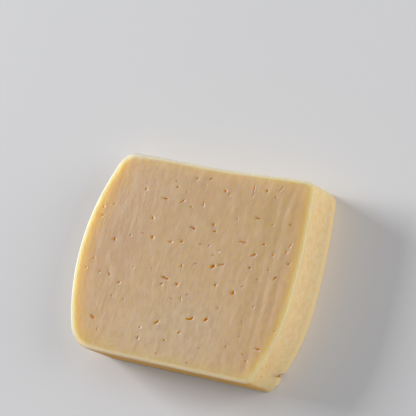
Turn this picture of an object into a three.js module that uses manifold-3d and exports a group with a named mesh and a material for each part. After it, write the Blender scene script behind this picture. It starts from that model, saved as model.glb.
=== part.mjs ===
/*
 * A slab cut across a loaf of havarti, lying on one cut face with the other cut face up.
 *
 * Units are millimetres and +Z is up. X runs along the width of the loaf's section, Y from its
 * pressed bottom to its pressed top, and Z through the slab's thickness. The origin is the centre
 * of the slab's bounding box, on the surface that it lies on.
 *
 * The section has a nearly straight bottom, a top that sags a little, one full bulging side and one
 * steeper side. Its corners and the rims of both cut faces are rounded, one corner has a nick, and
 * small irregular eyes open in the cut faces.
 */
import * as THREE from 'three';
import { mergeVertices } from 'three/addons/utils/BufferGeometryUtils.js';
import Module from 'manifold-3d';

// The slab and the rounding of the rims of its cut faces
const thickness = 22.6;
const rimRadius = 1.4;
const rimSegments = 3;

// The section's flats: the bottom rises a little to the right, and the top sags between its ends
const topY = 53.7;
const topSag = 1.1;
const bottomLeftY = -53.7;
const bottomRightY = -51.1;

// The section's bulging sides, as arcs that reach furthest out at their widest height
const leftReach = -70.5;
const leftRadius = 109;
const leftWidestY = 2.7;
const rightReach = 70.5;
const rightUpperRadius = 330;
const rightLowerRadius = 81.5;
const rightWidestY = -9.4;

// The section's corners
const topLeftRadius = 11;
const topRightRadius = 6;
const bottomLeftRadius = 18;
const bottomRightRadius = 4.5;

// The steps along each stretch of the outline
const sideSteps = 20;
const cornerSteps = 8;
const topSteps = 24;

// The nick in the lower right corner: a wedge cut in from the side, which starts at the lower rim
// and runs out at its rise. Its height, and how far its cutter stands out of the slab.
const nickY = -41.3;
const nickMouth = 3;
const nickDepth = 2.9;
const nickRise = 8.5;
const cutterOvershoot = 1;

// An eye is as deep as this share of its width, plus the same again for every eye
const depthShare = 0.75;
const depthExtra = 0.35;
// How much of its depth an eye's centre lies below the cut face, and how uneven its wall is
const eyeSink = 0.15;
const eyeRoughness = 0.16;
// An eye at least this long has more facets than a pinhole
const facetedLength = 1.9;
const eyeSides = 8;
const eyeRings = 4;

// The small eyes that are scattered between the larger ones, and those of the face underneath,
// whose middle stays whole
const scatterSeed = 20417;
const pinholeCount = 34;
const undersideCount = 36;
const pinholeSize = { min: 0.8, max: 1.25 };
const undersideSize = { min: 1.0, max: 2.6 };
const eyeSpacing = 4.2;
const eyeMargin = 5.5;
const wholeMiddle = 12;

/** Describes one eye: its place on the cut face, its length and width, and its turn in degrees. */
const eye = (x, y, length, width, turn = 0) => ({ x, y, length, width, turn });

// The larger eyes of the upper cut face. Many are slits that lie nearly level across the section.
const largeEyes = [
  // near the top
  eye(-7, 45, 1.8, 1.4, 30), eye(1.5, 46, 1.8, 1.3, 60), eye(29.5, 43.5, 5.5, 0.8, -80),
  eye(37.5, 45, 2.2, 1.2, -20), eye(45.5, 46.5, 3, 1, 45), eye(44, 42, 1.7, 1.3, 70),
  eye(12.5, 41, 2, 1.5, -30), eye(-38, 35, 1.5, 1.2, 60), eye(-24, 32, 4, 1, -5),
  eye(-13, 32, 3.6, 0.9, 28), eye(-18.5, 39, 1.5, 1.1, 0), eye(1.5, 32.5, 3, 0.9, -75),
  // the upper middle
  eye(37, 30, 3.6, 1.1, -5), eye(57, 30, 2, 0.9, 0), eye(-28, 20.5, 2, 1.3, -40),
  eye(-1, 19.5, 3.8, 1.2, -8), eye(11.5, 23, 2.1, 1.7, -50), eye(13, 19.5, 3, 0.8, 0),
  eye(-49, 5.5, 2.6, 1.7, -35), eye(-25, 10.5, 2.7, 1.5, -15), eye(-12.5, 10, 3.2, 0.9, 5),
  eye(-5.5, 11, 2.2, 1.3, 10), eye(32.5, 17, 4.5, 1.1, 0), eye(45, 18, 2, 1.2, -10),
  // the lower middle
  eye(41, 11.5, 3.2, 1.3, 30), eye(60.5, 19.5, 2.8, 1.2, 70), eye(53, 13, 2.7, 1.1, -80),
  eye(0, -1, 2.1, 1.5, 0), eye(18.5, 2, 3.8, 1.6, 12), eye(23.5, 3.8, 4.4, 0.9, 22),
  eye(41, 5, 1.9, 1.5, 0), eye(57.5, 2, 2.8, 1.5, 62), eye(-8.5, -9, 4.6, 1.4, -8),
  eye(-9.5, -12.5, 1.5, 1.4, 0), eye(0, -11, 2.5, 1.6, 15), eye(23.5, -7, 2.1, 1.5, -30),
  eye(35.5, -9, 2.8, 2.3, 20), eye(-45, -13.5, 1.8, 1.4, -20), eye(-37, -16.5, 2.4, 1.1, 30),
  // near the bottom
  eye(-47.5, -37, 4.2, 1.2, -25), eye(-5.5, -32, 3.8, 1.3, 40), eye(14, -27, 5.6, 1.3, 14),
  eye(24, -25, 3.2, 1.7, 48), eye(10, -34.5, 2, 1.3, 10), eye(-14.5, -42, 1.6, 1.3, -60),
  eye(2.5, -40, 1.9, 1.2, -10), eye(46.5, -23, 3, 0.8, -60), eye(59.5, -33, 3.4, 1.1, 0),
];

const cheese = new THREE.MeshStandardMaterial({
  name: 'havarti', color: 0xe3c48c, roughness: 0.5, metalness: 0,
});

/** Gives repeatable draws between 0 and 1 from a seed. */
function makeRandom(seed) {
  let state = seed;
  return () => {
    state = (state * 1664525 + 1013904223) % 4294967296;
    return state / 4294967296;
  };
}

/** Points along an arc, without its last one, which starts the next stretch of the outline. */
function arcPoints(centreX, centreY, radius, fromAngle, toAngle, steps) {
  return Array.from({ length: steps }, (_, step) => {
    const angle = fromAngle + (toAngle - fromAngle) * step / steps;
    return new THREE.Vector2(centreX + radius * Math.cos(angle), centreY + radius * Math.sin(angle));
  });
}

/**
 * Fits a corner of the given radius between a side arc and a flat. The corner touches both, so its
 * centre lies one radius inside the flat, and inside the side arc by the same amount.
 */
function fitCorner(side, flatY, radius) {
  const y = flatY - Math.sign(flatY) * radius;
  const offsetY = y - side.y;
  const offsetX = side.outward * Math.sqrt((side.radius - radius) ** 2 - offsetY ** 2);
  return { x: side.x + offsetX, y, radius, angle: Math.atan2(offsetY, offsetX) };
}

/** The section's outline, counter-clockwise from the left end of the bottom. */
function sectionOutline() {
  const left = { x: leftReach + leftRadius, y: leftWidestY, radius: leftRadius, outward: -1 };
  const rightLower = {
    x: rightReach - rightLowerRadius, y: rightWidestY, radius: rightLowerRadius, outward: 1,
  };
  const rightUpper = {
    x: rightReach - rightUpperRadius, y: rightWidestY, radius: rightUpperRadius, outward: 1,
  };
  const bottomLeft = fitCorner(left, bottomLeftY, bottomLeftRadius);
  const bottomRight = fitCorner(rightLower, bottomRightY, bottomRightRadius);
  const topRight = fitCorner(rightUpper, topY, topRightRadius);
  const topLeft = fitCorner(left, topY, topLeftRadius);
  const down = -Math.PI / 2;
  const up = Math.PI / 2;
  const fullTurn = 2 * Math.PI;

  const corner = ({ x, y, radius }, from, to) => arcPoints(x, y, radius, from, to, cornerSteps);
  const side = ({ x, y, radius }, from, to) => arcPoints(x, y, radius, from, to, sideSteps);
  const top = Array.from({ length: topSteps }, (_, step) => {
    const along = step / topSteps;
    const sag = topSag * Math.sin(Math.PI * along) ** 2;
    return new THREE.Vector2(THREE.MathUtils.lerp(topRight.x, topLeft.x, along), topY - sag);
  });

  return [
    new THREE.Vector2(bottomLeft.x, bottomLeftY),
    ...corner(bottomRight, down, bottomRight.angle),
    ...side(rightLower, bottomRight.angle, 0),
    ...side(rightUpper, 0, topRight.angle),
    ...corner(topRight, topRight.angle, up),
    ...top,
    ...corner(topLeft, up, topLeft.angle),
    ...side(left, topLeft.angle, bottomLeft.angle + fullTurn),
    ...corner(bottomLeft, bottomLeft.angle + fullTurn, down + fullTurn),
  ];
}

/** The section extruded through the slab's thickness, with the rims of both cut faces rounded. */
function slabGeometry(outline) {
  const geometry = new THREE.ExtrudeGeometry(new THREE.Shape(outline), {
    depth: thickness - 2 * rimRadius,
    bevelEnabled: true,
    bevelThickness: rimRadius,
    bevelSize: rimRadius,
    bevelOffset: -rimRadius,
    bevelSegments: rimSegments,
  });
  return geometry.translate(0, 0, rimRadius);
}

/** An uneven ellipsoid that cuts one eye into the cut face at the given height. */
function eyeCutter({ x, y, length, width, turn }, faceZ, random) {
  const geometry = length < facetedLength
    ? new THREE.IcosahedronGeometry(1)
    : new THREE.SphereGeometry(1, eyeSides, eyeRings).rotateX(Math.PI / 2);
  geometry.deleteAttribute('normal');
  geometry.deleteAttribute('uv');
  const cutter = mergeVertices(geometry);
  const position = cutter.getAttribute('position');
  for (let index = 0; index < position.count; index += 1) {
    const swell = 1 + eyeRoughness * (2 * random() - 1);
    position.setXYZ(
      index,
      position.getX(index) * swell,
      position.getY(index) * swell,
      position.getZ(index) * swell,
    );
  }
  const depth = depthShare * width + depthExtra;
  const inward = faceZ > thickness / 2 ? -1 : 1;
  cutter.scale(length / 2, width / 2, depth);
  cutter.rotateZ(THREE.MathUtils.degToRad(turn));
  cutter.translate(x, y, faceZ + inward * eyeSink * depth);
  return cutter;
}

/** The wedge that makes the nick, set square to the right side at the nick's height. */
function nickCutter() {
  const offsetY = nickY - rightWidestY;
  const offsetX = Math.sqrt(rightLowerRadius ** 2 - offsetY ** 2);
  const wedge = new THREE.Shape([
    new THREE.Vector2(cutterOvershoot, -nickMouth / 2),
    new THREE.Vector2(cutterOvershoot, nickMouth / 2),
    new THREE.Vector2(-nickDepth, 0),
  ]);
  const height = nickRise + cutterOvershoot;
  const geometry = new THREE.ExtrudeGeometry(wedge, { depth: height, bevelEnabled: false });
  const position = geometry.getAttribute('position');
  for (let index = 0; index < position.count; index += 1) {
    // The wedge slides out of the side as it rises
    const rise = position.getZ(index) / height;
    position.setX(index, position.getX(index) + rise * nickDepth);
  }
  geometry.rotateZ(Math.atan2(offsetY, offsetX));
  return geometry.translate(rightReach - rightLowerRadius + offsetX, nickY, -cutterOvershoot);
}

/** Whether a place lies inside the outline, at least the margin away from it. */
function isInside(outline, x, y) {
  let inside = false;
  let nearest = Infinity;
  outline.forEach((start, index) => {
    const end = outline[(index + 1) % outline.length];
    nearest = Math.min(nearest, Math.hypot(start.x - x, start.y - y));
    const crosses = (start.y > y) !== (end.y > y);
    if (crosses && x < start.x + (end.x - start.x) * (y - start.y) / (end.y - start.y)) {
      inside = !inside;
    }
  });
  return inside && nearest > eyeMargin;
}

/** Scatters small eyes over a cut face, clear of its rim, of each other and of the ones given. */
function scatterEyes(outline, count, size, taken, random) {
  const eyes = [];
  while (eyes.length < count) {
    const x = THREE.MathUtils.lerp(leftReach, rightReach, random());
    const y = THREE.MathUtils.lerp(bottomLeftY, topY, random());
    const width = THREE.MathUtils.lerp(size.min, size.max, random() ** 2);
    const stretch = 1 + random();
    const turn = 180 * random();
    const isClear = [...taken, ...eyes].every(
      (other) => Math.hypot(other.x - x, other.y - y) > eyeSpacing + other.length / 2,
    );
    if (isClear && isInside(outline, x, y)) {
      eyes.push(eye(x, y, width * stretch, width, turn));
    }
  }
  return eyes;
}

/** Makes a solid of a closed geometry by merging its shared vertices. */
function toSolid(wasm, geometry) {
  const plain = geometry.clone();
  plain.deleteAttribute('normal');
  plain.deleteAttribute('uv');
  const merged = mergeVertices(plain);
  return new wasm.Manifold(new wasm.Mesh({
    numProp: 3,
    vertProperties: Float32Array.from(merged.getAttribute('position').array),
    triVerts: Uint32Array.from(merged.getIndex().array),
  }));
}

/** Gives a solid back as a geometry. */
function toGeometry(solid) {
  const mesh = solid.getMesh();
  const geometry = new THREE.BufferGeometry();
  geometry.setAttribute('position', new THREE.BufferAttribute(mesh.vertProperties, 3));
  geometry.setIndex(new THREE.BufferAttribute(mesh.triVerts, 1));
  geometry.computeVertexNormals();
  return geometry;
}

const wasm = await Module();
wasm.setup();

const outline = sectionOutline();
const random = makeRandom(scatterSeed);
const pinholes = scatterEyes(outline, pinholeCount, pinholeSize, largeEyes, random);
const undersideEyes = scatterEyes(
  outline,
  undersideCount,
  undersideSize,
  [eye(0, 0, wholeMiddle, wholeMiddle)],
  random,
);
const cutters = [
  ...[...largeEyes, ...pinholes].map((each) => eyeCutter(each, thickness, random)),
  ...undersideEyes.map((each) => eyeCutter(each, 0, random)),
  nickCutter(),
];
const solid = cutters.reduce(
  (remaining, cutter) => remaining.subtract(toSolid(wasm, cutter)),
  toSolid(wasm, slabGeometry(outline)),
);

const slab = new THREE.Mesh(toGeometry(solid), cheese);
slab.name = 'havarti_slab';

const havarti = new THREE.Group();
havarti.add(slab);

export default havarti;
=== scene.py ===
"""A slab cut across a loaf of havarti, lying on one cut face under soft studio light.

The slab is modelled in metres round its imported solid, whose frame it shares: X runs along the width
of the loaf's section, Y from its pressed bottom to its pressed top, and Z through the slab. The
sizes below are millimetres, as on a maker's drawing, and MM turns them into metres.
"""

import logging
import math
import random
from dataclasses import dataclass, field
from enum import Enum

import bpy
import numpy as np
from mathutils import Matrix, Vector, kdtree, noise


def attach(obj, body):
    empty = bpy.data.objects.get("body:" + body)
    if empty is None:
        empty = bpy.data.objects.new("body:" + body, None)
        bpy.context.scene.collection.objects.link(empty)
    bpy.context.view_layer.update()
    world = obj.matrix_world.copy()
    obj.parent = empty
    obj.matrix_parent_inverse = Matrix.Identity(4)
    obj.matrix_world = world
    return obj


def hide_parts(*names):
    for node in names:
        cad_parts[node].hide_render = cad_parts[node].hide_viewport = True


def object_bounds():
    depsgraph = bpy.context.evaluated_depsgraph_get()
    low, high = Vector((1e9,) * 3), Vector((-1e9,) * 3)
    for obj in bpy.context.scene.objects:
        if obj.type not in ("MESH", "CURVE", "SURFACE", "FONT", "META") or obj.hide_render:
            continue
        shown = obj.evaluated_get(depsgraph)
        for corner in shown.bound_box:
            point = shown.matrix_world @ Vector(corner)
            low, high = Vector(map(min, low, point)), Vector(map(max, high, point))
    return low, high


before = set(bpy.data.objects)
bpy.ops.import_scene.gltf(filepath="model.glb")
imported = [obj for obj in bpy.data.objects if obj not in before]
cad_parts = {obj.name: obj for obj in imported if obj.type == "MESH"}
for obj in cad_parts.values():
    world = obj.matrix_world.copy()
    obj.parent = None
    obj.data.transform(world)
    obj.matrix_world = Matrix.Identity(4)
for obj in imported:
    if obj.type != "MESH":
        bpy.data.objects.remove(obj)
cad_low, cad_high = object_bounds()

MM = 0.001
NODE = "havarti_slab"
BODY = "root"
FULL_TURN = 2 * math.pi
Colour = tuple[float, float, float]
Span = tuple[float, float]
Socket = bpy.types.NodeSocket
Inputs = dict[int | str, Socket | float | tuple[float, ...]]
log = logging.getLogger("havarti")


class CutFace(Enum):
    """The two faces that the knife left."""

    UPPER = "upper"
    LOWER = "lower"


class Part(Enum):
    """What a selection in edit mode is made of, by the name of its list in a mesh."""

    EDGES = "edges"
    FACES = "polygons"


def smoothstep(low: float, high: float, value: np.ndarray) -> np.ndarray:
    """Steps smoothly from 0 at low to 1 at high, whichever of the two is larger."""
    share = np.clip((value - low) / (high - low), 0.0, 1.0)
    return share * share * (3.0 - 2.0 * share)


def noise_field(x: np.ndarray, y: np.ndarray, layer: float) -> np.ndarray:
    """Reads a layer of smooth noise, between about -1 and 1, at places in noise cells."""
    basis = "PERLIN_ORIGINAL"
    return np.array([noise.noise((a, b, layer), noise_basis=basis) for a, b in zip(x, y)])


def deselect_all() -> None:
    """Leaves object mode with nothing selected, so that an operator acts on the new piece alone."""
    if bpy.context.object and bpy.context.object.mode != "OBJECT":
        bpy.ops.object.mode_set(mode="OBJECT")
    bpy.ops.object.select_all(action="DESELECT")


def make_active(piece: bpy.types.Object) -> None:
    """Selects one piece alone and makes it the active one."""
    deselect_all()
    piece.select_set(True)
    bpy.context.view_layer.objects.active = piece


def coordinates(mesh: bpy.types.Mesh) -> np.ndarray:
    """Reads a mesh's vertices.

    Args:
        mesh: The mesh.

    Returns:
        Their places in millimetres, one row each.
    """
    flat = np.empty(len(mesh.vertices) * 3, np.float32)
    mesh.vertices.foreach_get("co", flat)
    return flat.reshape(-1, 3).astype(float) / MM


def set_coordinates(mesh: bpy.types.Mesh, places: np.ndarray) -> None:
    """Moves a mesh's vertices to places in millimetres."""
    mesh.vertices.foreach_set("co", (places * MM).astype(np.float32).ravel())
    mesh.update()


def select_parts(piece: bpy.types.Object, part: Part, wanted: np.ndarray) -> None:
    """Enters edit mode with some edges or faces selected.

    Args:
        piece: The active piece.
        part: What to select.
        wanted: One truth value for each edge or face.
    """
    select_mode = (False, part is Part.EDGES, part is Part.FACES)
    bpy.context.tool_settings.mesh_select_mode = select_mode
    bpy.ops.object.mode_set(mode="EDIT")
    bpy.ops.mesh.select_all(action="DESELECT")
    bpy.ops.object.mode_set(mode="OBJECT")
    getattr(piece.data, part.value).foreach_set("select", wanted)
    bpy.ops.object.mode_set(mode="EDIT")


def turn_faces_outward() -> None:
    """Makes the active piece's faces look outward, and leaves object mode on."""
    bpy.ops.object.mode_set(mode="EDIT")
    bpy.ops.mesh.select_all(action="SELECT")
    bpy.ops.mesh.normals_make_consistent(inside=False)
    bpy.ops.object.mode_set(mode="OBJECT")


def edge_heights(mesh: bpy.types.Mesh) -> tuple[np.ndarray, np.ndarray]:
    """Reads the heights of each edge's two ends.

    Args:
        mesh: The mesh.

    Returns:
        The first ends' and the second ends' heights, in millimetres.
    """
    ends = np.empty(len(mesh.edges) * 2, np.int32)
    mesh.edges.foreach_get("vertices", ends)
    heights = coordinates(mesh)[ends.reshape(-1, 2), 2]
    return heights[:, 0], heights[:, 1]


def lengths_along(outline: np.ndarray) -> np.ndarray:
    """Lists how far along a closed outline each point lies, and last the whole length."""
    closed = np.vstack([outline, outline[:1]])
    return np.concatenate([[0.0], np.cumsum(np.hypot(*np.diff(closed, axis=0).T))])


def nearness_to_rim(x: np.ndarray, y: np.ndarray) -> np.ndarray:
    """Reads how near the section's outline places lie, from 0 in its middle to about 1."""
    return (x / 70) ** 4 + (y / 53) ** 4


def direction(azimuth: float, elevation: float) -> Vector:
    """Points from the slab to a lamp or to the camera.

    Args:
        azimuth: 0 on the +X side and 90 on the +Y side, in degrees.
        elevation: The height above the table, in degrees.

    Returns:
        The unit vector.
    """
    turn, rise = math.radians(azimuth), math.radians(elevation)
    level = math.cos(rise)
    return Vector((math.cos(turn) * level, math.sin(turn) * level, math.sin(rise)))


@dataclass(frozen=True)
class Arc:
    """A round stretch of the section's outline.

    Attributes:
        x: Centre across the section.
        y: Centre up the section.
        radius: The arc's radius.
    """

    x: float
    y: float
    radius: float

    def trace(self, start: float, end: float, step: float) -> list[tuple[float, float]]:
        """Lists points along the arc, without its end.

        Args:
            start: First angle, in radians.
            end: Last angle, in radians.
            step: The most that two points may be apart.

        Returns:
            The points, in order.
        """
        count = max(2, math.ceil(abs(end - start) * self.radius / step))
        angles = (start + (end - start) * index / count for index in range(count))
        return [
            (self.x + self.radius * math.cos(angle), self.y + self.radius * math.sin(angle))
            for angle in angles
        ]


@dataclass(frozen=True)
class Section:
    """The loaf's section: a nearly straight bottom, a sagging top and two bulging sides.

    The left side is one arc. The right one is two arcs that meet at its widest height. The same
    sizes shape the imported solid.

    Attributes:
        top_y: Height of the top's ends.
        top_sag: How far its middle lies lower.
        bottom_left_y: Height of the bottom's left end.
        bottom_right_y: Height of its right end.
        left_reach: Where the left side is widest, across the section.
        left_radius: Radius of that side.
        left_widest_y: Where it is widest, up the section.
        right_reach: Where the right side is widest, across the section.
        right_upper_radius: Radius of that side's upper part.
        right_lower_radius: Radius of its lower part.
        right_widest_y: Where the right side is widest, up the section.
        top_left_radius: Rounding of the top left corner.
        top_right_radius: Rounding of the top right corner.
        bottom_left_radius: Rounding of the bottom left corner.
        bottom_right_radius: Rounding of the bottom right corner.
        fine_step: The most that two points of a fine trace may be apart.
    """

    top_y: float = 53.7
    top_sag: float = 1.1
    bottom_left_y: float = -53.7
    bottom_right_y: float = -51.1
    left_reach: float = -70.5
    left_radius: float = 109.0
    left_widest_y: float = 2.7
    right_reach: float = 70.5
    right_upper_radius: float = 330.0
    right_lower_radius: float = 81.5
    right_widest_y: float = -9.4
    top_left_radius: float = 11.0
    top_right_radius: float = 6.0
    bottom_left_radius: float = 18.0
    bottom_right_radius: float = 4.5
    fine_step: float = 0.1

    @property
    def left(self) -> Arc:
        """The left side's arc."""
        return Arc(self.left_reach + self.left_radius, self.left_widest_y, self.left_radius)

    @property
    def right_upper(self) -> Arc:
        """The arc of the right side above its widest height."""
        radius = self.right_upper_radius
        return Arc(self.right_reach - radius, self.right_widest_y, radius)

    @property
    def right_lower(self) -> Arc:
        """The arc of the right side below its widest height."""
        radius = self.right_lower_radius
        return Arc(self.right_reach - radius, self.right_widest_y, radius)

    @staticmethod
    def fit_corner(side: Arc, outward: int, flat_y: float, radius: float) -> tuple[Arc, float]:
        """Fits a rounded corner between a side and a flat.

        Args:
            side: The side's arc.
            outward: -1 for the left side, 1 for the right one.
            flat_y: The flat's height.
            radius: The corner's radius.

        Returns:
            The corner's arc, and the angle at which it touches the side.
        """
        y = flat_y - math.copysign(radius, flat_y)
        offset_y = y - side.y
        offset_x = outward * math.sqrt((side.radius - radius) ** 2 - offset_y**2)
        return Arc(side.x + offset_x, y, radius), math.atan2(offset_y, offset_x)

    def trace(self, step: float) -> np.ndarray:
        """Traces the outline counter-clockwise from the left end of the bottom.

        Args:
            step: The most that two points may be apart.

        Returns:
            One row for each point.
        """
        left, lower, upper = self.left, self.right_lower, self.right_upper
        corner_a, angle_a = self.fit_corner(left, -1, self.bottom_left_y, self.bottom_left_radius)
        corner_b, angle_b = self.fit_corner(lower, 1, self.bottom_right_y, self.bottom_right_radius)
        corner_c, angle_c = self.fit_corner(upper, 1, self.top_y, self.top_right_radius)
        corner_d, angle_d = self.fit_corner(left, -1, self.top_y, self.top_left_radius)
        down, up = -FULL_TURN / 4, FULL_TURN / 4
        count = math.ceil((corner_b.x - corner_a.x) / step)
        shares = [index / count for index in range(count)]
        rise = self.bottom_right_y - self.bottom_left_y
        points = [
            (corner_a.x + (corner_b.x - corner_a.x) * share, self.bottom_left_y + rise * share)
            for share in shares
        ]
        points += corner_b.trace(down, angle_b, step)
        points += lower.trace(angle_b, 0.0, step)
        points += upper.trace(0.0, angle_c, step)
        points += corner_c.trace(angle_c, up, step)
        points += [
            (
                corner_c.x + (corner_d.x - corner_c.x) * share,
                self.top_y - self.top_sag * math.sin(math.pi * share) ** 2,
            )
            for share in shares
        ]
        points += corner_d.trace(up, angle_d, step)
        points += left.trace(angle_d, angle_a + FULL_TURN, step)
        points += corner_a.trace(angle_a + FULL_TURN, down + FULL_TURN, step)
        return np.array(points)

    def even_points(self, count: int) -> np.ndarray:
        """Spreads points evenly along the outline.

        Args:
            count: How many points.

        Returns:
            One row for each point.
        """
        fine = self.trace(self.fine_step)
        along = lengths_along(fine)
        wanted = np.linspace(0.0, along[-1], count, endpoint=False)
        closed = np.vstack([fine, fine[:1]])
        return np.stack([np.interp(wanted, along, values) for values in closed.T], axis=1)


@dataclass(frozen=True)
class Eye:
    """One small opening in the paste, where it meets a cut face.

    Attributes:
        x: Place across the section.
        y: Place up the section.
        length: The opening's longer width.
        width: Its shorter width.
        turn: The turn of its length from X, in degrees.
        depth: Its depth, as a share of what its width gives.
    """

    x: float
    y: float
    length: float
    width: float
    turn: float = 0.0
    depth: float = 1.0


LARGE_EYES = (
    # Near the top
    Eye(-7, 45.3, 1.8, 1.4, 30), Eye(1.7, 46.5, 1.8, 1.3, 60), Eye(30, 44, 5.5, 0.8, -80),
    Eye(37.8, 45.2, 2.2, 1.2, -20), Eye(46, 47.2, 3, 1, 45), Eye(44.3, 42.5, 1.7, 1.3, 70),
    Eye(12.6, 41.3, 2, 1.5, -30), Eye(-38, 35.1, 1.5, 1.2, 60), Eye(-23.7, 32.1, 4, 1, -5),
    Eye(-12.6, 32.1, 3.6, 0.9, 28), Eye(-18.1, 39.1, 1.5, 1.1, 0), Eye(1.5, 32.9, 3, 0.9, -75),
    # The upper middle
    Eye(37.4, 30.5, 3.6, 1.1, -5), Eye(57.4, 30.2, 2, 0.9, 0), Eye(-27.9, 20.7, 2, 1.3, -40),
    Eye(-0.8, 19.6, 3.8, 1.2, -8), Eye(11.6, 23.2, 2.1, 1.7, -50), Eye(13.3, 19.9, 3, 0.8, 0),
    Eye(-48.6, 5.9, 2.6, 1.7, -35), Eye(-24.8, 10.9, 2.7, 1.5, -15), Eye(-12.4, 10.3, 3.2, 0.9, 5),
    Eye(-5.2, 11.5, 2.2, 1.3, 10), Eye(32.6, 17.3, 5.6, 0.9, -3), Eye(45.4, 18.3, 2, 1.2, -10),
    # The lower middle
    Eye(41.2, 11.8, 3.2, 1.3, 30), Eye(61, 20, 2.8, 1.2, 70), Eye(52.5, 14, 2.1, 1.2, -80),
    Eye(-0.5, -0.9, 2.1, 1.5, 0), Eye(18.5, 2, 3.8, 1.9, 12), Eye(23.5, 3.8, 4.4, 0.9, 22),
    Eye(41.3, 5.2, 1.9, 1.5, 0), Eye(57.7, 2.5, 2.8, 1.5, 62), Eye(-8.3, -8.7, 4.6, 1.6, -8),
    Eye(-9.5, -12.1, 1.5, 1.4, 0), Eye(0.2, -10.5, 2.5, 1.6, 15), Eye(23.5, -6.8, 2.1, 1.5, -30),
    Eye(35.6, -8.8, 2.8, 2.3, 20), Eye(-45, -13, 1.8, 1.4, -20), Eye(-36.9, -16.2, 2.4, 1.1, 30),
    # Near the bottom
    Eye(-47.3, -36.6, 4.2, 1.2, -25), Eye(-5.2, -31.8, 4, 1.6, 40), Eye(14.1, -26.5, 5.4, 1.7, 14),
    Eye(24.2, -24.8, 3.4, 2, 48), Eye(10.2, -34.1, 2, 1.3, 10), Eye(-14.2, -41.7, 1.6, 1.3, -60),
    Eye(2.6, -39.8, 1.9, 1.2, -10), Eye(46.5, -22.6, 3, 0.8, -60), Eye(59.8, -33.2, 3.4, 1.1, 0),
)


SMALL_EYES = (
    # Near the top
    Eye(-19.8, 42.3, 1.2, 0.8, 20), Eye(-0.3, 43.3, 1.2, 0.7, -30), Eye(-11, 37.3, 1.4, 0.7, 35),
    Eye(-5.8, 30.3, 1.6, 0.7, -15), Eye(15.6, 39.8, 1.3, 0.8, 50), Eye(30.4, 41.3, 1.2, 0.7, 75),
    Eye(-56.2, 24.3, 1.3, 0.9, 20), Eye(-49.8, 25.8, 1.1, 0.7, 0), Eye(25.1, 28.3, 1.3, 0.8, 60),
    # The middle
    Eye(-38.8, 9.3, 1.2, 0.8, 15), Eye(-31.6, 12, 1.1, 0.7, 0), Eye(13, 12.3, 1.4, 0.7, 60),
    Eye(7.2, 12, 1.3, 0.8, -20), Eye(20.2, 10.9, 1.6, 0.7, 55), Eye(16.8, 7.9, 1.3, 0.7, 15),
    Eye(8, 1.7, 1.5, 0.6, 5), Eye(63.2, 10.8, 2.4, 1, 20), Eye(40.2, -4.7, 1.3, 0.8, 30),
    Eye(47.9, 0.6, 1.2, 0.7, -45), Eye(-51.8, -12.7, 1.2, 0.8, 10), Eye(-30.8, -6.7, 1.1, 0.7, 40),
    Eye(-18.8, -5.2, 1.2, 0.6, 0), Eye(50.2, -13.7, 1.3, 0.8, 55),
    # Near the bottom
    Eye(-39.2, -23.5, 1.5, 0.8, -35), Eye(-31.2, -24.2, 1.4, 0.8, 20),
    Eye(-0.4, -18.2, 1.3, 0.7, 10), Eye(5.2, -17.1, 1.2, 0.8, -25), Eye(8.7, -14.7, 1.1, 0.7, 40),
    Eye(29.6, -18, 1.4, 0.8, 60), Eye(-41.8, -42.7, 1.5, 0.9, -30),
    Eye(-14.8, -36.4, 1.3, 0.8, 25), Eye(41.2, -35.7, 1.4, 0.8, -15), Eye(25, -39.7, 1.5, 0.8, 35),
    Eye(47, -29.7, 1.3, 0.7, -50), Eye(66.6, -22.7, 1.5, 0.8, 15),
    Eye(52.2, -37.3, 1.6, 0.8, -20), Eye(55, -40.5, 1.8, 0.9, 45), Eye(20.6, -48, 1.4, 0.8, 0),
    Eye(0.2, -47, 1.3, 0.7, 20),
    # On the right, and in the golden band on the left
    Eye(59.8, 16.2, 1.6, 1.2, 30), Eye(52.6, 6.1, 1.4, 1, 60), Eye(47.4, 28.8, 1.4, 1, 40),
    Eye(-62.8, 21.8, 1.4, 1.1, 20, depth=0.5), Eye(-61.6, 17, 1.7, 1.2, 40, depth=0.5),
    Eye(-58.4, -6.4, 1.4, 1, 10, depth=0.5), Eye(-61.9, -12.1, 1.6, 1.1, 30, depth=0.5),
)


@dataclass(frozen=True)
class HiddenEyes:
    """The eyes of the lower cut face, which the photograph doesn't show.

    Attributes:
        count: How many there are.
        half_width: How far they lie from the section's middle at most, across it.
        half_height: How far at most up or down the section.
        reach: How near the rim they may lie, where 1 is the rim.
        spacing: How far they keep apart.
        narrowest: Width of the narrowest.
        variation: How much wider the widest may be.
        stretch: How many times as long as wide they are at most.
    """

    count: int = 36
    half_width: float = 62.0
    half_height: float = 45.0
    reach: float = 0.6
    spacing: float = 5.0
    narrowest: float = 0.8
    variation: float = 1.1
    stretch: float = 2.0

    def scatter(self, draw: random.Random) -> list[Eye]:
        """Scatters the eyes, clear of the rim and of each other.

        Args:
            draw: Where their places and sizes come from.

        Returns:
            The eyes.
        """
        eyes: list[Eye] = []
        while len(eyes) < self.count:
            x = draw.uniform(-self.half_width, self.half_width)
            y = draw.uniform(-self.half_height, self.half_height)
            width = self.narrowest + self.variation * draw.random() ** 2
            eye = Eye(x, y, width * draw.uniform(1, self.stretch), width, draw.uniform(0, 180))
            apart = all(math.hypot(other.x - x, other.y - y) > self.spacing for other in eyes)
            if apart and nearness_to_rim(x, y) < self.reach:
                eyes.append(eye)
        return eyes


@dataclass(frozen=True)
class RindPit:
    """A small shallow pit in the rind of the right side.

    Attributes:
        y: Place up the section.
        z: Height above the lower cut face.
        size: Width of its mouth.
        painted_shade: How much of an eye's painted shade its bottom has, as a depth.
    """

    y: float
    z: float
    size: float
    painted_shade: float = 0.42

    @property
    def mouth(self) -> Eye:
        """The eye that cuts it."""
        return Eye(0.0, 0.0, self.size, 0.8 * self.size, depth=0.3)

    def painted_shade_at(self, apart: np.ndarray) -> np.ndarray:
        """Reads its painted shade at distances from its middle."""
        return self.painted_shade * smoothstep(self.size, 0.4 * self.size, apart)


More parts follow.
